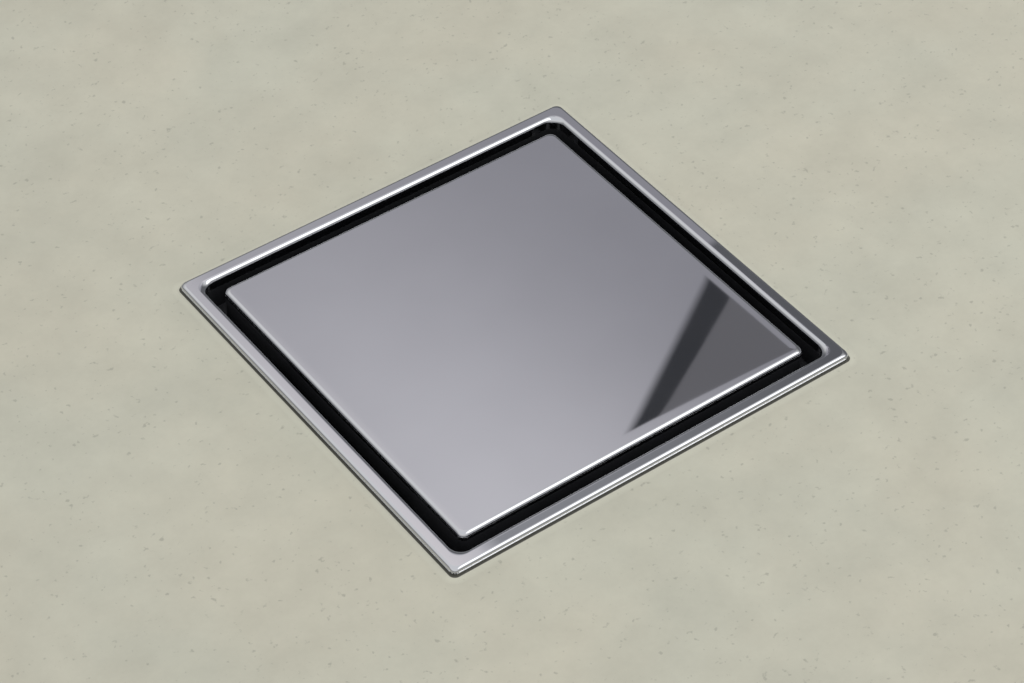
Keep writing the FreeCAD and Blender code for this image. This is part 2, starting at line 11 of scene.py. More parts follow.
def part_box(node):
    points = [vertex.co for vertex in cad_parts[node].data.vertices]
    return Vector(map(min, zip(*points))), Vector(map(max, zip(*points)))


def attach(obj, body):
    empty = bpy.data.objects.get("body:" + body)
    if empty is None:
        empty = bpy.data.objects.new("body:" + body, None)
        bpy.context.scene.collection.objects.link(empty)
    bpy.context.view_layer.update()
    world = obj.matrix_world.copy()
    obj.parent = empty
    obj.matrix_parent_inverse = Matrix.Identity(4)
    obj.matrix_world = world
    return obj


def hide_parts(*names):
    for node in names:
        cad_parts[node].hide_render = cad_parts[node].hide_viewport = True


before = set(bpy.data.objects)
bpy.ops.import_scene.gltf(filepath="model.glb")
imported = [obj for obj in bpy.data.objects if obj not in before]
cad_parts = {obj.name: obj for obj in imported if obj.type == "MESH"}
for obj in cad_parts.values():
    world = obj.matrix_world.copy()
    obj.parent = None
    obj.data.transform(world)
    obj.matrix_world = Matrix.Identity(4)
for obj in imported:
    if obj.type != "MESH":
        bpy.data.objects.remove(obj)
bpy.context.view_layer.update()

bl_info = {
    "name": "Tile Insert Floor Drain",
    "version": (1, 0, 0),
    "blender": (4, 5, 0),
    "location": "3D View > Sidebar > Drain",
    "description": "Makes the stainless frame and plate of a floor drain and finishes its mouldings and seals",
    "category": "Object",
}

MM = 0.001  # the CAD frame is in metres

# Places that the CAD model gives
frame_low, frame_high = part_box("top_frame")
plate_low, plate_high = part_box("cover_plate")
FRAME_TOP = frame_high.z
FRAME_HALF = frame_high.x
WALL_FOOT = frame_low.z
PLATE_TOP = plate_high.z
PLATE_FOOT = plate_low.z
PLATE_HALF = plate_high.x


def linear(hex_colour):
    """Linear red, green and blue of an sRGB hex colour: the usual curve with a straight foot below 0.04045."""
    parts = [int(hex_colour[i:i + 2], 16) / 255 for i in (1, 3, 5)]
    return tuple(c / 12.92 if c <= 0.04045 else ((c + 0.055) / 1.055) ** 2.4 for c in parts)


def length(name, description, default, low=0.0, high=1.0):
    """Property of a real length, in metres."""
    return FloatProperty(name=name, description=description, default=default, min=low, max=high,
                         precision=5, unit="LENGTH", subtype="DISTANCE")


def share(name, description, default):
    """Property between 0 and 1."""
    return FloatProperty(name=name, description=description, default=default, min=0.0, max=1.0,
                         subtype="FACTOR")


def colour(name, description, hex_colour):
    """Property of a colour, from its sRGB hex value."""
    return FloatVectorProperty(name=name, description=description, default=linear(hex_colour), size=3,
                               min=0.0, max=1.0, subtype="COLOR")


class DrainSheet(PropertyGroup):
    """Sizes of the folded stainless sheet."""

    thickness: length("Sheet", "Thickness of the stainless sheet", 1.2 * MM)
    lip_depth: length("Lip depth", "Turned-down outer edge of the frame, down to the floor", 2.4 * MM)
    lip_tuck: length("Lip tuck", "How far the lip's foot is tucked in under the flange", 0.5 * MM)
    flange_width: length("Flange width", "Flange as seen from above, over both of its bends", 5.3 * MM)
    flange_bend: length("Flange bend", "Outer bend of the flange, in section", 1.1 * MM)
    mouth_bend: length("Mouth bend", "Bend where the flange rolls down into the wall, in section", 1.5 * MM)
    plate_bend: length("Plate bend", "Bend of the plate's turned-down sides, in section", 1.3 * MM)
    frame_corner: length("Frame corner", "Outer corner of the frame, seen from above", 1.8 * MM)
    mouth_corner: length("Mouth corner", "Corner of the opening, seen from above", 4.6 * MM)
    plate_corner: length("Plate corner", "Corner of the plate, seen from above", 2.4 * MM)
    cut_edge: length("Cut edge", "Rounding left on the cut edges after deburring", 0.12 * MM)
    roll_off: length("Roll-off", "Fall of the sheet beside a bend, which folding leaves", 0.01 * MM)
    roll_off_reach: length("Roll-off reach", "How far from the bend the sheet still falls", 1.6 * MM)
    waviness: length("Waviness", "Height of the long waves that pressing leaves in the plate", 0.02 * MM)


class DrainColours(PropertyGroup):
    """Colours and gloss of the materials."""

    steel: colour("Steel", "Polished stainless steel", "#d2d3d6")
    satin_steel: colour("Satin steel", "Pressed and turned stainless steel", "#bfc0c1")
    black_abs: colour("Black ABS", "Moulded body and well", "#242528")
    grey_pp: colour("Grey polypropylene", "Neck, cup and bridge", "#8c9092")
    white_pp: colour("White polypropylene", "Float bell", "#e4e2d9")
    rubber: colour("Rubber", "Seals, rests and gasket", "#1c1c1b")
    brass: colour("Brass", "Moulded-in screw sleeves", "#b5965a")
    polish: share("Polish", "Roughness of the polished steel", 0.022)
    screed: colour("Screed", "Pale screed round the drain", "#bcbbac")
    screed_patches: colour("Screed patches", "Warmer patches in the screed", "#bebbab")


class DrainStage(PropertyGroup):
    """Camera and light of the studio."""

    azimuth: FloatProperty(name="Azimuth", description="Turn of the camera about Z, from looking along +Y",
                           default=math.radians(-36.02), subtype="ANGLE")
    elevation: FloatProperty(name="Elevation", description="Height of the camera over the floor, as an angle",
                             default=math.radians(44.37), subtype="ANGLE")
    roll: FloatProperty(name="Roll", description="Turn of the camera about its own line of sight",
                        default=math.radians(-0.325), subtype="ANGLE")
    distance: length("Distance", "From the camera to the point it looks at", 886.3 * MM, 0.1, 10.0)
    # Width of the dark band round the frame: partly a joint, partly painted shade at the lip's foot.
    floor_joint: length("Floor joint", "Dark joint in the screed round the frame", 0.4 * MM)
    key_power: FloatProperty(name="Key power", description="Power of the softbox", default=3.3, min=0.0,
                             unit="POWER")
    sky_strength: FloatProperty(name="Sky strength", description="Strength of the studio's walls and ceiling",
                                default=1.2, min=0.0)


def add_node(tree, kind, values=None, links=None, **settings):
    """Adds a node with its settings, the values of its sockets and the sockets that feed it."""
    made = tree.nodes.new(kind)
    for name, value in settings.items():
        setattr(made, name, value)
    for name, value in (values or {}).items():
        made.inputs[name].default_value = value
    for name, source in (links or {}).items():
        tree.links.new(source, made.inputs[name])
    return made


def new_material(name):
    """Empty material with its shader and its Object coordinates: (material, tree, shader, coordinates)."""
    material = bpy.data.materials.new(name)
    material.use_nodes = True
    tree = material.node_tree
    tree.nodes.clear()
    shader = add_node(tree, "ShaderNodeBsdfPrincipled")
    add_node(tree, "ShaderNodeOutputMaterial", links={"Surface": shader.outputs[0]})
    coordinates = add_node(tree, "ShaderNodeTexCoord").outputs["Object"]
    return material, tree, shader, coordinates


def noise(tree, coordinates, size, detail=2.0, **values):
    """Noise whose lumps are about a real size, in metres."""
    made = add_node(tree, "ShaderNodeTexNoise", values={"Scale": 0.5 / size, "Detail": detail, **values},
                    links={"Vector": coordinates})
    return made.outputs["Fac"]


def spread(tree, source, low, high, start=0.3, end=0.7):
    """A pattern's middle range carried to values from low to high."""
    made = add_node(tree, "ShaderNodeMapRange",
                    values={"From Min": start, "From Max": end, "To Min": low, "To Max": high},
                    links={"Value": source})
    return made.outputs["Result"]


def tint(tree, source, first, second):
    """Colour between two linear colours, by a pattern from 0 to 1."""
    made = add_node(tree, "ShaderNodeMix", data_type="RGBA", links={"Factor": source})
    made.inputs[6].default_value = (*first, 1)
    made.inputs[7].default_value = (*second, 1)
    return made.outputs[2]


def overlaid(tree, mask, under, rgb):
    """A linear colour laid over a coloured pattern, by a mask from 0 to 1."""
    made = add_node(tree, "ShaderNodeMix", data_type="RGBA", links={"Factor": mask, 6: under})
    made.inputs[7].default_value = (*rgb, 1)
    return made.outputs[2]


def shade(rgb, factor):
    """A linear colour made lighter or darker."""
    return tuple(min(1.0, c * factor) for c in rgb)


def bumped(tree, shader, height, depth):
    """Surface relief of a real depth, in metres, from a pattern between 0 and 1."""
    relief = add_node(tree, "ShaderNodeBump", values={"Strength": 1.0, "Distance": depth},
                      links={"Height": height})
    tree.links.new(relief.outputs["Normal"], shader.inputs["Normal"])


def mirror_polished_steel(colours):
    """Mirror-polished 304 sheet: clear reflections, with a faint cloudiness from the buffing wheel."""
    material, tree, shader, coordinates = new_material("mirror_polished_steel")
    cloud = noise(tree, coordinates, 14 * MM)
    shader.inputs["Metallic"].default_value = 1.0
    tone = tint(tree, spread(tree, cloud, 0.0, 1.0), shade(colours.steel, 0.97), colours.steel)
    tree.links.new(tone, shader.inputs["Base Color"])
    gloss = spread(tree, cloud, colours.polish * 0.8, colours.polish * 1.25)
    tree.links.new(gloss, shader.inputs["Roughness"])
    # Buffing leaves an uneven skin a few millimetres across and far thinner than a hair.
    bumped(tree, shader, noise(tree, coordinates, 5 * MM), 0.0006 * MM)
    return material


def satin_grained_steel(colours):
    """Pressed and turned stainless with a satin grain: soft highlights that break up along fine lines."""
    material, tree, shader, coordinates = new_material("satin_grained_steel")
    grain_lines = add_node(tree, "ShaderNodeMapping", values={"Scale": (1.0, 24.0, 24.0)},
                           links={"Vector": coordinates}).outputs[0]
    # Real grain is under 0.05 mm wide, and it is drawn at 0.2 mm so that it shows.
    grain = noise(tree, grain_lines, 5 * MM, 3.0)
    shader.inputs["Metallic"].default_value = 1.0
    tone = tint(tree, spread(tree, grain, 0.0, 1.0), shade(colours.satin_steel, 0.86), colours.satin_steel)
    tree.links.new(tone, shader.inputs["Base Color"])
    tree.links.new(spread(tree, grain, 0.26, 0.40), shader.inputs["Roughness"])
    bumped(tree, shader, grain, 0.004 * MM)
    return material


def moulded_plastic(name, rgb, low_gloss, high_gloss, grain_size, grain_depth):
    """Moulded plastic: an even colour, faint flow shading and the fine spark grain of the mould."""
    material, tree, shader, coordinates = new_material(name)
    flow = noise(tree, coordinates, 22 * MM)
    tone = tint(tree, spread(tree, flow, 0.0, 1.0), shade(rgb, 0.88), shade(rgb, 1.08))
    tree.links.new(tone, shader.inputs["Base Color"])
    grain = noise(tree, coordinates, grain_size, 3.0)
    tree.links.new(spread(tree, grain, low_gloss, high_gloss), shader.inputs["Roughness"])
    bumped(tree, shader, grain, grain_depth)
    shader.inputs["IOR"].default_value = 1.5
    return material


def moulded_black_abs(colours):
    """Black ABS with a spark-eroded grain: dull, with a broad soft sheen."""
    # The grain is about 0.1 mm in the mould, and it is drawn at 0.35 mm so that it shows.
    return moulded_plastic("moulded_black_abs", colours.black_abs, 0.42, 0.58, 0.35 * MM, 0.02 * MM)


def moulded_grey_polypropylene(colours):
    """Grey polypropylene from a smooth mould: waxy, with a slight orange peel."""
    return moulded_plastic("moulded_grey_polypropylene", colours.grey_pp, 0.32, 0.42, 1.2 * MM, 0.012 * MM)


def moulded_white_polypropylene(colours):
    """Natural white polypropylene, thin enough to let a little light into its walls."""
    material = moulded_plastic("moulded_white_polypropylene", colours.white_pp, 0.30, 0.40, 1.2 * MM,
                               0.012 * MM)
    shader = next(n for n in material.node_tree.nodes if n.type == "BSDF_PRINCIPLED")
    shader.inputs["Subsurface Weight"].default_value = 0.15
    shader.inputs["Subsurface Radius"].default_value = (1.0, 0.9, 0.8)
    shader.inputs["Subsurface Scale"].default_value = 1.0 * MM
    return material


def epdm_rubber(colours):
    """Black EPDM rubber: matt, with paler traces of the talc it is stored in."""
    material, tree, shader, coordinates = new_material("epdm_rubber")
    talc = noise(tree, coordinates, 3 * MM, 4.0)
    tone = tint(tree, spread(tree, talc, 0.0, 1.0, 0.45, 0.8), colours.rubber, shade(colours.rubber, 3.0))
    tree.links.new(tone, shader.inputs["Base Color"])
    tree.links.new(spread(tree, talc, 0.62, 0.8), shader.inputs["Roughness"])
    bumped(tree, shader, noise(tree, coordinates, 0.4 * MM), 0.01 * MM)
    return material


def turned_brass(colours):
    """Turned brass: warm metal with the lathe's fine rings, drawn as short bands about 0.3 mm wide."""
    material, tree, shader, coordinates = new_material("turned_brass")
    rings = add_node(tree, "ShaderNodeTexWave", values={"Scale": 1.0 / (3 * 0.3 * MM), "Distortion": 0.6},
                     links={"Vector": coordinates}, bands_direction="Z").outputs["Fac"]
    shader.inputs["Metallic"].default_value = 1.0
    tone = tint(tree, rings, shade(colours.brass, 0.85), colours.brass)
    tree.links.new(tone, shader.inputs["Base Color"])
    tree.links.new(spread(tree, rings, 0.22, 0.34, 0.0, 1.0), shader.inputs["Roughness"])
    return material


def outside_frame(tree, coordinates):
    """Distance outwards from the frame's outline, in metres.

    It is the length of the part of (|x|, |y|) beyond the corner arcs' centres, less the arcs' radius.
    """
    radius = bpy.context.scene.drain_sheet.frame_corner
    centre = FRAME_HALF - radius
    past_any_height = 1000.0  # in metres, so that height adds nothing to the distance
    apart = add_node(tree, "ShaderNodeVectorMath", operation="ABSOLUTE", links={0: coordinates}).outputs[0]
    beyond = add_node(tree, "ShaderNodeVectorMath", operation="SUBTRACT", links={0: apart},
                      values={1: (centre, centre, past_any_height)}).outputs[0]
    kept = add_node(tree, "ShaderNodeVectorMath", operation="MAXIMUM", links={0: beyond},
                    values={1: (0.0, 0.0, 0.0)}).outputs[0]
    reach = add_node(tree, "ShaderNodeVectorMath", operation="LENGTH", links={0: kept}).outputs["Value"]
    return add_node(tree, "ShaderNodeMath", operation="SUBTRACT", links={0: reach}, values={1: radius}).outputs[0]


def smoothed_screed(colours):
    """Trowelled pale screed: nearly even, with cloudy mottling and small darker specks."""
    material, tree, shader, coordinates = new_material("smoothed_screed")
    patches = noise(tree, coordinates, 30 * MM, 4.0)
    warm = tint(tree, spread(tree, patches, 0.0, 1.0, 0.36, 0.64), colours.screed, colours.screed_patches)
    cloud = noise(tree, coordinates, 11 * MM, 8.0, Roughness=0.68)
    shading = add_node(tree, "ShaderNodeVectorMath", operation="SCALE",
                       links={0: warm, "Scale": spread(tree, cloud, 0.93, 1.07)}).outputs[0]
    specks = noise(tree, coordinates, 0.9 * MM, 2.0)
    speck = spread(tree, specks, 0.0, 0.5, 0.66, 0.74)
    spotted = overlaid(tree, speck, shading, shade(colours.screed, 0.55))
    outside = outside_frame(tree, coordinates)
    joint_and_shade = bpy.context.scene.drain_stage.floor_joint
    # Painted light: a paler rim on the floor beside the frame, which lightens the shade that the frame casts there.
    painted_light_rim = overlaid(tree, spread(tree, outside, 1.0, 0.0, joint_and_shade, joint_and_shade + 2.5 * MM), spotted,
                     shade(colours.screed, 1.22))
    # Partly a real joint and partly painted shade: a near-black band round the frame stands for the shade at the lip's
    # foot, and the lip mirrors it dark.
    joint_and_contact_shade = overlaid(tree, spread(tree, outside, 1.0, 0.0, joint_and_shade * 0.6, joint_and_shade), painted_light_rim,
                       shade(colours.screed, 0.16))
    tree.links.new(joint_and_contact_shade, shader.inputs["Base Color"])
    shader.inputs["Roughness"].default_value = 0.85
    bumped(tree, shader, noise(tree, coordinates, 1.6 * MM, 5.0), 0.03 * MM)
    return material


FINISHES = {
    "polished_stainless": mirror_polished_steel,
    "satin_stainless": satin_grained_steel,
    "black_abs": moulded_black_abs,
    "grey_pp": moulded_grey_polypropylene,
    "white_pp": moulded_white_polypropylene,
    "black_rubber": epdm_rubber,
    "brass": turned_brass,
}


def finish_named(slot):
    """The material of one of the record's slots, made when it is first asked for."""
    make = FINISHES[slot]
    name = make.__name__
    return bpy.data.materials.get(name) or make(bpy.context.scene.drain_colours)


def finish_node(name, slot):
    """Gives a CAD node the material of its slot."""
    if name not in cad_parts:
        raise RuntimeError("the frame has no node " + name)
    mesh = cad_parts[name].data
    mesh.materials.clear()
    mesh.materials.append(finish_named(slot))


def rounded_section(corners, radii, arc_steps=9, support=0.06 * MM):
    """Closed section through corner points, each with a tangent arc.

    A corner's arc starts and ends where a circle of its radius touches both of its sides, and turns evenly
    in between. A further point lies a little way along each side, so that the flat beside the arc stays
    flat. Columns past the first two, such as the radius in plan, change in step along the sides.
    """
    corners = np.asarray(corners, float)
    radii = np.asarray(radii, float)[:, None]
    back = np.roll(corners, 1, 0) - corners
    onward = np.roll(corners, -1, 0) - corners
    back_length = np.linalg.norm(back[:, :2], axis=1, keepdims=True)
    onward_length = np.linalg.norm(onward[:, :2], axis=1, keepdims=True)
    back = back / back_length
    onward = onward / onward_length
    half_angle = np.arccos(np.clip((back[:, :2] * onward[:, :2]).sum(1, keepdims=True), -1, 1)) / 2
    reach = radii / np.tan(half_angle)
    inward = back[:, :2] + onward[:, :2]
    inward = inward / np.linalg.norm(inward, axis=1, keepdims=True)
    centre = corners[:, :2] + inward * radii / np.sin(half_angle)
    first = corners + back * reach
    last = corners + onward * reach
    start = first[:, :2] - centre
    side = last[:, :2] - centre
    turn = np.arctan2(start[:, 0] * side[:, 1] - start[:, 1] * side[:, 0], (start * side).sum(1))[:, None]
    share_of_turn = np.linspace(0, 1, arc_steps + 1)[None, :]
    angle = turn * share_of_turn
    x = centre[:, :1] + start[:, :1] * np.cos(angle) - start[:, 1:2] * np.sin(angle)
    z = centre[:, 1:2] + start[:, :1] * np.sin(angle) + start[:, 1:2] * np.cos(angle)
    others = first[:, None, 2:] + (last - first)[:, None, 2:] * share_of_turn[:, :, None]
    arcs = np.concatenate([x[:, :, None], z[:, :, None], others], axis=2)
    before = (corners + back * np.minimum(reach + support, back_length * 0.45))[:, None, :]
    after = (corners + onward * np.minimum(reach + support, onward_length * 0.45))[:, None, :]
    return np.concatenate([before, arcs, after], axis=1).reshape(-1, corners.shape[1])


def rounded_squares(half, corner, side_steps=44, arc_steps=12):
    """Rings of points round squares with rounded corners, one row for each half width and corner radius.

    One side is a straight run at x = half, followed by a quarter circle of the corner's radius; the other
    three sides are that side turned by quarter turns. Points crowd towards the corners by a cosine.
    """
    half = np.asarray(half, float)[:, None]
    corner = np.asarray(corner, float)[:, None]
    run = -np.cos(np.linspace(0, np.pi, side_steps + 1))[None, :]
    straight_x = np.broadcast_to(half, (half.shape[0], run.shape[1]))
    straight_y = (half - corner) * run
    angle = np.linspace(0, np.pi / 2, arc_steps + 1)[None, 1:-1]
    arc_x = half - corner + corner * np.cos(angle)
    arc_y = half - corner + corner * np.sin(angle)
    x = np.concatenate([straight_x, arc_x], axis=1)
    y = np.concatenate([straight_y, arc_y], axis=1)
    ring_x = np.concatenate([x, -y, -x, y], axis=1)
    ring_y = np.concatenate([y, x, -y, -x], axis=1)
    return ring_x, ring_y


def grid_faces(rows, columns, close_rows):
    """Quads of a grid whose columns close round, and whose rows close too where close_rows is true."""
    index = np.arange(rows * columns).reshape(rows, columns)
    across = np.roll(index, -1, axis=1)
    down = np.roll(index, -1, axis=0)
    diagonal = np.roll(across, -1, axis=0)
    quads = np.stack([index, across, diagonal, down], axis=2)
    if not close_rows:
        quads = quads[:-1]
    return quads.reshape(-1, 4)


def new_mesh_object(name, points, quads, triangles=None):
    """Object at the origin from arrays of points, quads and triangles, with smooth shading."""
    sides = [quads.reshape(-1)]
    counts = [np.full(len(quads), 4)]
    if triangles is not None:
        sides.append(triangles.reshape(-1))
        counts.append(np.full(len(triangles), 3))
    sides = np.concatenate(sides)
    counts = np.concatenate(counts)
    mesh = bpy.data.meshes.new(name)
    mesh.vertices.add(len(points))
    mesh.vertices.foreach_set("co", np.asarray(points, np.float32).reshape(-1))
    mesh.loops.add(len(sides))
    mesh.loops.foreach_set("vertex_index", sides.astype(np.int32))
    mesh.polygons.add(len(counts))
    starts = np.concatenate([[0], np.cumsum(counts)[:-1]])
    mesh.polygons.foreach_set("loop_start", starts.astype(np.int32))
    mesh.update(calc_edges=True)
    mesh.validate()
    mesh.shade_smooth()
    made = bpy.data.objects.new(name, mesh)
    bpy.context.scene.collection.objects.link(made)
    return made


def frame_strip_points(sheet):
    """Rings of the folded frame, and their number.

    The section runs up the lip, over the flange, down the wall and back inside at the sheet's thickness.
    Each of its points is carried round a rounded square, whose corner widens from the lip to the wall.
    """
    out = FRAME_HALF
    foot = out - sheet.lip_tuck
    top = FRAME_TOP
    mouth = out - sheet.flange_width
    t = sheet.thickness
    floor = top - sheet.lip_depth
    widened = sheet.mouth_corner + t
    corners = [
        (foot, floor, sheet.frame_corner), (out, top, sheet.frame_corner), (mouth, top, sheet.mouth_corner),
        (mouth, WALL_FOOT, sheet.mouth_corner), (mouth + t, WALL_FOOT, widened), (mouth + t, top - t, widened),
        (out - t, top - t, sheet.frame_corner / 2), (foot - t, floor, sheet.frame_corner / 2)]
    radii = [sheet.cut_edge, sheet.flange_bend, sheet.mouth_bend, sheet.cut_edge, sheet.cut_edge,
             sheet.mouth_bend * 0.2, sheet.flange_bend * 0.1, sheet.cut_edge]
    section = rounded_section(corners, radii)
    x, y = rounded_squares(section[:, 0], section[:, 2])
    z = np.broadcast_to(section[:, 1:2], x.shape)
    return np.stack([x, y, z], axis=2), len(section)


def plate_sheet_points(sheet):
    """Rings of the plate, from the middle of its top out to the bend, down, back inside and to the middle below.

    The top falls beside the bend by the roll-off times exp(-distance / reach), and everywhere by long low
    waves that die out at the edge. The rings close on one point above and one below.
    """
    t = sheet.thickness
    half = PLATE_HALF
    top = PLATE_TOP
    inner = sheet.plate_corner - t
    corners = [
        (half * 0.5, top, 0.0), (half, top, sheet.plate_corner), (half, PLATE_FOOT, sheet.plate_corner),
        (half - t, PLATE_FOOT, inner), (half - t, top - t, inner), (half * 0.5, top - t, 0.0)]
    radii = [sheet.cut_edge, sheet.plate_bend, sheet.cut_edge, sheet.cut_edge, 0.4 * MM, sheet.cut_edge]
    section = rounded_section(corners, radii)
    per_corner = len(section) // len(corners)
    edge = section[per_corner:-per_corner]
    reach = half - sheet.plate_bend
    beside_bend = 0.2 * MM
    beside_wall = 0.8 * MM
    least_corner = 0.3 * MM
    inwards = np.linspace(1, 0, 27)[1:-1] ** 0.8
    top_half = (inwards * (reach - beside_bend))[::-1]
    low_half = inwards * (half - t - beside_wall)
    inner_corners = np.full(len(inwards), least_corner)
    top_rings = np.stack([top_half, np.full(len(top_half), top), inner_corners], axis=1)
    low_rings = np.stack([low_half, np.full(len(low_half), top - t), inner_corners], axis=1)
    section = np.concatenate([top_rings, edge, low_rings])
    corner = np.minimum(section[:, 2], section[:, 0] * 0.5)
    corner = np.maximum(corner, np.minimum(least_corner, section[:, 0] * 0.5))
    x, y = rounded_squares(section[:, 0], corner)
    z = np.array(np.broadcast_to(section[:, 1:2], x.shape))
    sheet_rows = section[:, 1] > top - t - 0.3 * MM
    from_edge = np.maximum(half - sheet.plate_bend - np.maximum(np.abs(x), np.abs(y)), 0)
    fall = sheet.roll_off * np.exp(-from_edge / sheet.roll_off_reach)
    calm = 1 - np.exp(-from_edge / (12 * MM))
    wave = np.sin(x / (19 * MM) + 0.6) * np.cos(y / (23 * MM) - 0.4) + 0.5 * np.sin((x + 1.7 * y) / (31 * MM))
    z = z - (fall + sheet.waviness * calm * (wave + 1.5) / 2) * sheet_rows[:, None]
    return np.stack([x, y, z], axis=2), len(section)


class DRAIN_OT_frame_strip(Operator):
    """Make the frame's folded and polished strip"""

    bl_idname = "drain.frame_strip"
    bl_label = "Frame Strip"

    def execute(self, context):
        points, rings = frame_strip_points(context.scene.drain_sheet)
        quads = grid_faces(rings, points.shape[1], True)
        made = new_mesh_object("frame_strip", points.reshape(-1, 3), quads)
        made.data.materials.append(finish_named("polished_stainless"))
        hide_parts("top_frame")
        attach(made, "top")
        return {"FINISHED"}


class DRAIN_OT_plate_sheet(Operator):
    """Make the polished cover plate with its turned-down sides"""

    bl_idname = "drain.plate_sheet"
    bl_label = "Plate Sheet"

    def execute(self, context):
        points, rings = plate_sheet_points(context.scene.drain_sheet)
        columns = points.shape[1]
        quads = grid_faces(rings, columns, False)[:, ::-1]
        points = points.reshape(-1, 3)
        top_middle = points[:columns].mean(0)
        low_middle = points[-columns:].mean(0)
        around = np.arange(columns)
        onward = np.roll(around, -1)
        last = (rings - 1) * columns
        top_fan = np.stack([np.full(columns, len(points)), around, onward], axis=1)
        low_fan = np.stack([np.full(columns, len(points) + 1), last + onward, last + around], axis=1)
        points = np.concatenate([points, [top_middle, low_middle]])
        made = new_mesh_object("plate_sheet", points, quads, np.concatenate([top_fan, low_fan]))
        made.data.materials.append(finish_named("polished_stainless"))
        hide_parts("cover_plate")
        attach(made, "top")
        return {"FINISHED"}


class DRAIN_OT_frame_fixings(Operator):
    """Finish the corner shelves, their screws, the rubber rests and the plate's carrier"""

    bl_idname = "drain.frame_fixings"
    bl_label = "Frame Fixings"

    def execute(self, context):
        finish_node("corner_shelves", "black_abs")
        finish_node("plate_carrier", "black_abs")
        finish_node("frame_screws", "satin_stainless")
        finish_node("rest_pads", "black_rubber")
        return {"FINISHED"}


class DRAIN_OT_well(Operator):
    """Finish the moulded well and the ring in its spigot"""

    bl_idname = "drain.well"
    bl_label = "Well"

    def execute(self, context):
        finish_node("frame_well", "black_abs")
        finish_node("spigot_seal", "black_rubber")
        return {"FINISHED"}


class DRAIN_OT_neck(Operator):
    """Finish the sliding neck and its lip seal"""

    bl_idname = "drain.neck"
    bl_label = "Neck"

    def execute(self, context):
        finish_node("extension_neck", "grey_pp")
        finish_node("neck_seal", "black_rubber")
        return {"FINISHED"}


class DRAIN_OT_body(Operator):
    """Finish the outlet bowl, the collar and the clamping flange"""

    bl_idname = "drain.body"
    bl_label = "Body"

    def execute(self, context):
        for name in ("outlet_bowl", "seal_collar", "clamp_flange"):
            finish_node(name, "black_abs")
        return {"FINISHED"}


class DRAIN_OT_clamp(Operator):
    """Finish the clamping ring, its gasket, screws, washers and sleeves"""

    bl_idname = "drain.clamp"
    bl_label = "Clamp"

    def execute(self, context):
        for name in ("clamp_ring", "clamp_washers", "clamp_screws"):
            finish_node(name, "satin_stainless")
        finish_node("flange_gasket", "black_rubber")
        finish_node("clamp_inserts", "brass")
        return {"FINISHED"}


class DRAIN_OT_trap(Operator):
    """Finish the lift-out trap: cup, hanger, riser, seal, bridge, pin, sieve and knob"""

    bl_idname = "drain.trap"
    bl_label = "Trap"

    def execute(self, context):
        for name in ("trap_cup", "cup_hanger", "trap_riser", "trap_bridge"):
            finish_node(name, "grey_pp")
        for name in ("guide_pin", "hair_sieve"):
            finish_node(name, "satin_stainless")
        finish_node("cup_seal", "black_rubber")
        finish_node("sieve_knob", "black_abs")
        return {"FINISHED"}


class DRAIN_OT_bell(Operator):
    """Finish the float bell, its guide socket, its washer and the ring that holds it"""

    bl_idname = "drain.bell"
    bl_label = "Bell"

    def execute(self, context):
        finish_node("trap_bell", "white_pp")
        finish_node("guide_socket", "white_pp")
        finish_node("bell_washer", "black_rubber")
        finish_node("washer_retainer", "satin_stainless")
        return {"FINISHED"}


LENS = 101.1  # focal length for a 36 mm sensor, solved from the edges of the frame in the photograph
LOOK_AT = Vector((-5.73 * MM, -8.76 * MM, FRAME_TOP))
FLOOR_REACH = 6.0  # metres from the drain to the floor's edge, past what any view shows
CARD_REACH = 1.25  # in half frames of the drain, so that the flange mirrors the card too
SCREEN_WAY = (0.85, 0.53, 0.0)  # from the drain towards the dim screen, which only mirrored rays meet

# Tones of the studio's walls, ceiling and screen; the dim wall and the screen are painted reflections that only
# mirrored rays meet
HORIZON = "#e9e7df"
CEILING = "#d8d9dc"
MIRRORED_WALL = "#88898c"
DIM_SCREEN = "#66676a"

# Tones of the glowing card, a painted reflection that only mirrored rays meet, which the polished steel shows a little
# darker
CARD_DARK = "#a2a1a8"
CARD_LIGHT = "#dedce1"
CARD_LIGHT_END = "#f5f0f3"
CARD_BAR = "#414246"
CARD_PANE = "#757478"
CARD_NEAR_WALL = "#a0a1a6"
CARD_DIM_WALL = "#6a6b6f"


def line_of_sight(azimuth, elevation):
    """Direction from the looked-at point back to the camera."""
    flat = math.cos(elevation)
    return Vector((math.sin(azimuth) * flat, -math.cos(azimuth) * flat, math.sin(elevation)))


def stage_camera(stage):
    """Camera at the photograph's angle, turned a little about its line of sight."""
    back = line_of_sight(stage.azimuth, stage.elevation)
    right = Vector((0, 0, 1)).cross(back).normalized()
    up = back.cross(right)
    right, up = (right * math.cos(stage.roll) + up * math.sin(stage.roll),
                 up * math.cos(stage.roll) - right * math.sin(stage.roll))
    data = bpy.data.cameras.new("camera")
    data.lens = LENS
    data.sensor_width = 36.0
    data.clip_start = 0.01
    data.clip_end = 50.0
    camera = bpy.data.objects.new("camera", data)
    turn = Matrix((right, up, back)).transposed().to_4x4()
    camera.matrix_world = Matrix.Translation(LOOK_AT + back * stage.distance) @ turn
    bpy.context.scene.collection.objects.link(camera)
    bpy.context.scene.camera = camera


def one_sided(material):
    """Lets the floor be seen from above only, so that low views show the parts that are cast in below it."""
    tree = material.node_tree
    output = next(n for n in tree.nodes if n.type == "OUTPUT_MATERIAL")
    solid = output.inputs["Surface"].links[0].from_socket
    clear = add_node(tree, "ShaderNodeBsdfTransparent").outputs[0]
    behind = add_node(tree, "ShaderNodeNewGeometry").outputs["Backfacing"]
    mixed = add_node(tree, "ShaderNodeMixShader", links={0: behind, 1: solid, 2: clear})
    tree.links.new(mixed.outputs[0], output.inputs["Surface"])


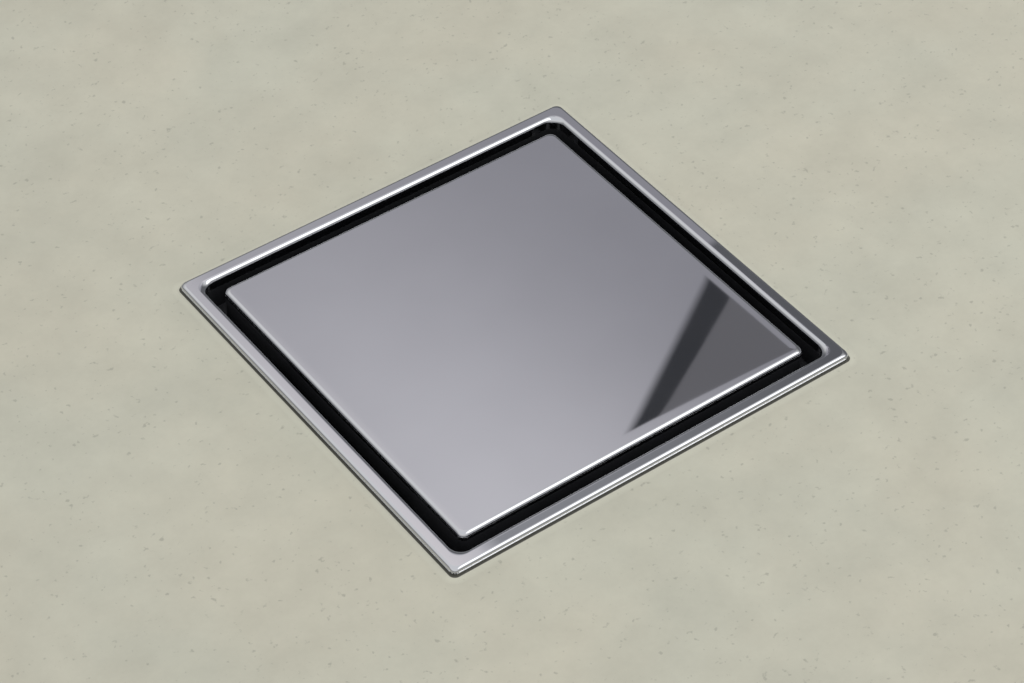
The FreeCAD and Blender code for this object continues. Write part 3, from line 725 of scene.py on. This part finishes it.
def stage_floor(colours):
    """Screed level with the frame's lip, cut out for the drain, and a plain floor under the outlet."""
    level = FRAME_TOP - bpy.context.scene.drain_sheet.lip_depth
    cut = FRAME_HALF - bpy.context.scene.drain_sheet.lip_tuck - 0.1 * MM  # just under the lip's foot
    half = np.array([cut, cut + 2.0 * MM, 0.2, 0.5, FLOOR_REACH])
    x, y = rounded_squares(half, np.full(len(half), 1.8 * MM), 6, 8)
    points = np.stack([x, y, np.full(x.shape, level)], axis=2)
    quads = grid_faces(len(half), x.shape[1], False)[:, ::-1]
    screed = new_mesh_object("screed", points.reshape(-1, 3), quads)
    screed.data.shade_flat()
    material = smoothed_screed(colours)
    screed.data.materials.append(material)
    one_sided(material)
    base_points = FLOOR_REACH * np.array([(-1, -1, 0), (1, -1, 0), (1, 1, 0), (-1, 1, 0)])
    base = new_mesh_object("base_floor", base_points, np.array([[0, 1, 2, 3]]))
    base.data.materials.append(plain_floor(colours))


def plain_floor(colours):
    """Matt painted floor under the drain, in the screed's colour."""
    material, tree, shader, coordinates = new_material("painted_floor")
    cloud = noise(tree, coordinates, 60 * MM)
    tone = tint(tree, spread(tree, cloud, 0.0, 1.0), shade(colours.screed, 0.98), shade(colours.screed, 1.02))
    tree.links.new(tone, shader.inputs["Base Color"])
    shader.inputs["Roughness"].default_value = 0.9
    return material


def softbox(name, direction, distance, width, height, power):
    """Rectangular lamp that faces the drain from a direction."""
    data = bpy.data.lights.new(name, "AREA")
    data.shape = "RECTANGLE"
    data.size = width
    data.size_y = height
    data.energy = power
    lamp = bpy.data.objects.new(name, data)
    back = Vector(direction).normalized()
    turn = back.to_track_quat("Z", "Y").to_matrix().to_4x4()
    lamp.matrix_world = Matrix.Translation(LOOK_AT + back * distance) @ turn
    bpy.context.scene.collection.objects.link(lamp)


def stage_world(strength):
    """Pale sky at the horizon that greys towards the top, as a studio's walls and ceiling do.

    Mirrored rays meet dimmer walls below a height, so that the bends have a dark foot under their
    highlights, and a screen behind the drain, which starts softly where the part of the direction that
    points at it passes a half.
    """
    world = bpy.data.worlds.new("studio")
    bpy.context.scene.world = world
    world.use_nodes = True
    tree = world.node_tree
    tree.nodes.clear()
    direction = add_node(tree, "ShaderNodeTexCoord").outputs["Generated"]
    height = add_node(tree, "ShaderNodeSeparateXYZ", links={0: direction}).outputs["Z"]
    ramp = add_node(tree, "ShaderNodeValToRGB", links={"Fac": height})
    ramp.color_ramp.elements[0].position = 0.0
    ramp.color_ramp.elements[0].color = (*linear(HORIZON), 1)
    ramp.color_ramp.elements[1].position = 0.9
    ramp.color_ramp.elements[1].color = (*linear(CEILING), 1)
    to_screen = add_node(tree, "ShaderNodeVectorMath", operation="DOT_PRODUCT", links={0: direction},
                         values={1: SCREEN_WAY}).outputs["Value"]
    mirrored = add_node(tree, "ShaderNodeLightPath").outputs["Is Glossy Ray"]
    # Painted reflections: only mirrored rays meet the dim walls and the screen; other rays meet the pale sky there.
    walls = both(tree, spread(tree, height, 1.0, 0.0, 0.30, 0.70), mirrored)
    screen = both(tree, spread(tree, to_screen, 0.0, 1.0, 0.55, 0.78), mirrored)
    walled = overlaid(tree, walls, ramp.outputs[0], linear(MIRRORED_WALL))
    shown = overlaid(tree, screen, walled, linear(DIM_SCREEN))
    glow = add_node(tree, "ShaderNodeBackground", values={"Strength": strength}, links={"Color": shown})
    add_node(tree, "ShaderNodeOutputWorld", links={"Surface": glow.outputs[0]})


def reflector_card():
    """Large grey card over the far side of the drain, which glows and is seen only in reflections: a painted
    reflection, whose tones the plate mirrors towards the camera.

    The mirrored camera looks up through each point of the plate. A card parallel to the plate at the
    camera's height is met there by the plate point plus its offset from the mirrored camera, so the card is
    the plate's square twice as large. Its UV map holds the plate point in units of the frame's half width.
    """
    camera = bpy.context.scene.camera.matrix_world.translation
    mirrored = np.array([camera.x, camera.y, 2 * PLATE_TOP - camera.z])
    side = np.linspace(-CARD_REACH, CARD_REACH, 2)
    u, v = np.meshgrid(side, side)
    plate = np.stack([u.ravel() * FRAME_HALF, v.ravel() * FRAME_HALF, np.full(u.size, PLATE_TOP)], axis=1)
    points = plate + (plate - mirrored)
    card = new_mesh_object("reflector_card", points, np.array([[0, 2, 3, 1]]))
    layer = card.data.uv_layers.new(name="plate")
    corner_uv = np.stack([u.ravel(), v.ravel()], axis=1)[[0, 2, 3, 1]]
    layer.data.foreach_set("uv", corner_uv.astype(np.float32).reshape(-1))
    card.data.materials.append(painted_reflection_card())
    # Painted reflection: the card glows, though it is no lamp, and only mirrored rays meet it.
    card.visible_camera = False
    card.visible_diffuse = False
    card.visible_shadow = False
    card.visible_transmission = False


def soft_side(tree, place, first, second, softness, inside):
    """Mask that is 1 on one side of the line through two points of the plate, in mm, and 0 on the other.

    It is 1 on the side of the inside point, and changes over a softness in mm. The place comes in half
    frames.
    """
    first, second, inside = (np.array(p, float) / (FRAME_HALF / MM) for p in (first, second, inside))
    along = (second - first) / np.linalg.norm(second - first)
    across = np.array([-along[1], along[0]])
    if across @ (inside - first) < 0:
        across = -across
    distance = add_node(tree, "ShaderNodeVectorMath", operation="DOT_PRODUCT", links={0: place},
                        values={1: (across[0], across[1], 0.0)}).outputs["Value"]
    start = float(across @ first)
    half_soft = softness / (FRAME_HALF / MM) / 2
    return spread(tree, distance, 0.0, 1.0, start - half_soft, start + half_soft)


def both(tree, first, second):
    """Product of two masks."""
    return add_node(tree, "ShaderNodeMath", operation="MULTIPLY", links={0: first, 1: second}).outputs[0]


def painted_reflection_card():
    """Glowing card that paints a reflection of the room's tones: light at one end, darker at the other, and a dark
    frame over one corner.

    The tone runs from the light end to the dark end along X by a smooth step, and the light end is dimmer
    towards +Y. The frame is a dark bar with a dim pane beside it, each bounded by straight soft lines.
    """
    material = bpy.data.materials.new("painted_reflection_card")
    material.use_nodes = True
    tree = material.node_tree
    tree.nodes.clear()
    place = add_node(tree, "ShaderNodeUVMap", uv_map="plate").outputs[0]
    parts = add_node(tree, "ShaderNodeSeparateXYZ", links={0: place}).outputs
    along = add_node(tree, "ShaderNodeMapRange", interpolation_type="SMOOTHSTEP",
                     values={"From Min": 0.85, "From Max": -0.75, "To Min": 0.0, "To Max": 1.0},
                     links={"Value": parts["X"]}).outputs["Result"]
    dimmed = spread(tree, parts["Y"], 1.0, 0.42, -0.8, 0.8)
    tone = tint(tree, both(tree, along, dimmed), linear(CARD_DARK), linear(CARD_LIGHT))
    light_end = spread(tree, parts["X"], 0.0, 1.0, -0.83, -1.0)
    lightened = overlaid(tree, both(tree, light_end, dimmed), tone, linear(CARD_LIGHT_END))
    bar_side = soft_side(tree, place, (60.5, -22.1), (3.0, -58.4), 3.0, (60, -60))
    pane_side = soft_side(tree, place, (60.2, -33.5), (15.6, -58.4), 0.8, (60, -60))
    near_side = soft_side(tree, place, (4.0, -61.2), (44.8, -63.8), 1.0, (0, 0))
    end_side = soft_side(tree, place, (62.0, -23.0), (62.5, -64.0), 1.0, (0, 0))
    window = both(tree, near_side, end_side)
    barred = overlaid(tree, both(tree, bar_side, window), lightened, linear(CARD_BAR))
    paned = overlaid(tree, both(tree, pane_side, window), barred, linear(CARD_PANE))
    # Painted reflection: beyond the window the wall is dim on two sides, which the flange shows.
    near_dim = both(tree, spread(tree, parts["Y"], 1.0, 0.0, -0.945, -0.925),
                    spread(tree, parts["X"], 0.0, 1.0, -0.86, -0.76))
    near_tone = tint(tree, spread(tree, parts["X"], 0.0, 1.0, -0.6, 0.9), linear(CARD_NEAR_WALL), linear(CARD_DIM_WALL))
    right_dim = both(tree, spread(tree, parts["X"], 0.0, 1.0, 0.925, 0.945),
                     spread(tree, parts["Y"], 1.0, 0.0, -0.16, -0.12))
    dimmed_near = add_node(tree, "ShaderNodeMix", data_type="RGBA",
                           links={"Factor": near_dim, 6: paned, 7: near_tone}).outputs[2]
    shown = overlaid(tree, right_dim, dimmed_near, linear(CARD_DIM_WALL))
    glow = add_node(tree, "ShaderNodeEmission", values={"Strength": 1.0}, links={"Color": shown})
    add_node(tree, "ShaderNodeOutputMaterial", links={"Surface": glow.outputs[0]})
    return material


class DRAIN_OT_stage(Operator):
    """Set the floor, the lamps, the card and the camera round the drain"""

    bl_idname = "drain.stage"
    bl_label = "Stage"

    def execute(self, context):
        scene = context.scene
        scene.view_settings.view_transform = "Standard"
        stage_camera(scene.drain_stage)
        stage_floor(scene.drain_colours)
        stage_world(scene.drain_stage.sky_strength)
        softbox("key_softbox", (0.42, -0.35, 0.80), 1.3, 0.8, 1.1,
                scene.drain_stage.key_power)
        reflector_card()
        return {"FINISHED"}


OPERATORS = (
    DRAIN_OT_frame_strip,
    DRAIN_OT_plate_sheet,
    DRAIN_OT_frame_fixings,
    DRAIN_OT_well,
    DRAIN_OT_neck,
    DRAIN_OT_body,
    DRAIN_OT_clamp,
    DRAIN_OT_trap,
    DRAIN_OT_bell,
    DRAIN_OT_stage,
)


class DRAIN_PT_panel(Panel):
    """Lists the drain's pieces in the sidebar"""

    bl_idname = "DRAIN_PT_panel"
    bl_label = "Floor Drain"
    bl_space_type = "VIEW_3D"
    bl_region_type = "UI"
    bl_category = "Drain"

    def draw(self, context):
        layout = self.layout
        for operator in OPERATORS:
            layout.operator(operator.bl_idname)
        for group in (context.scene.drain_sheet, context.scene.drain_colours, context.scene.drain_stage):
            box = layout.box()
            for name in group.__annotations__:
                box.prop(group, name)


SETTINGS = (("drain_sheet", DrainSheet), ("drain_colours", DrainColours), ("drain_stage", DrainStage))


def register():
    for name, group in SETTINGS:
        bpy.utils.register_class(group)
        setattr(bpy.types.Scene, name, PointerProperty(type=group))
    for operator in OPERATORS:
        bpy.utils.register_class(operator)
    bpy.utils.register_class(DRAIN_PT_panel)


def unregister():
    bpy.utils.unregister_class(DRAIN_PT_panel)
    for operator in reversed(OPERATORS):
        bpy.utils.unregister_class(operator)
    for name, group in reversed(SETTINGS):
        delattr(bpy.types.Scene, name)
        bpy.utils.unregister_class(group)


def main():
    register()
    for operator in OPERATORS:
        group, name = operator.bl_idname.split(".")
        getattr(getattr(bpy.ops, group), name)()


if __name__ == "__main__":
    main()
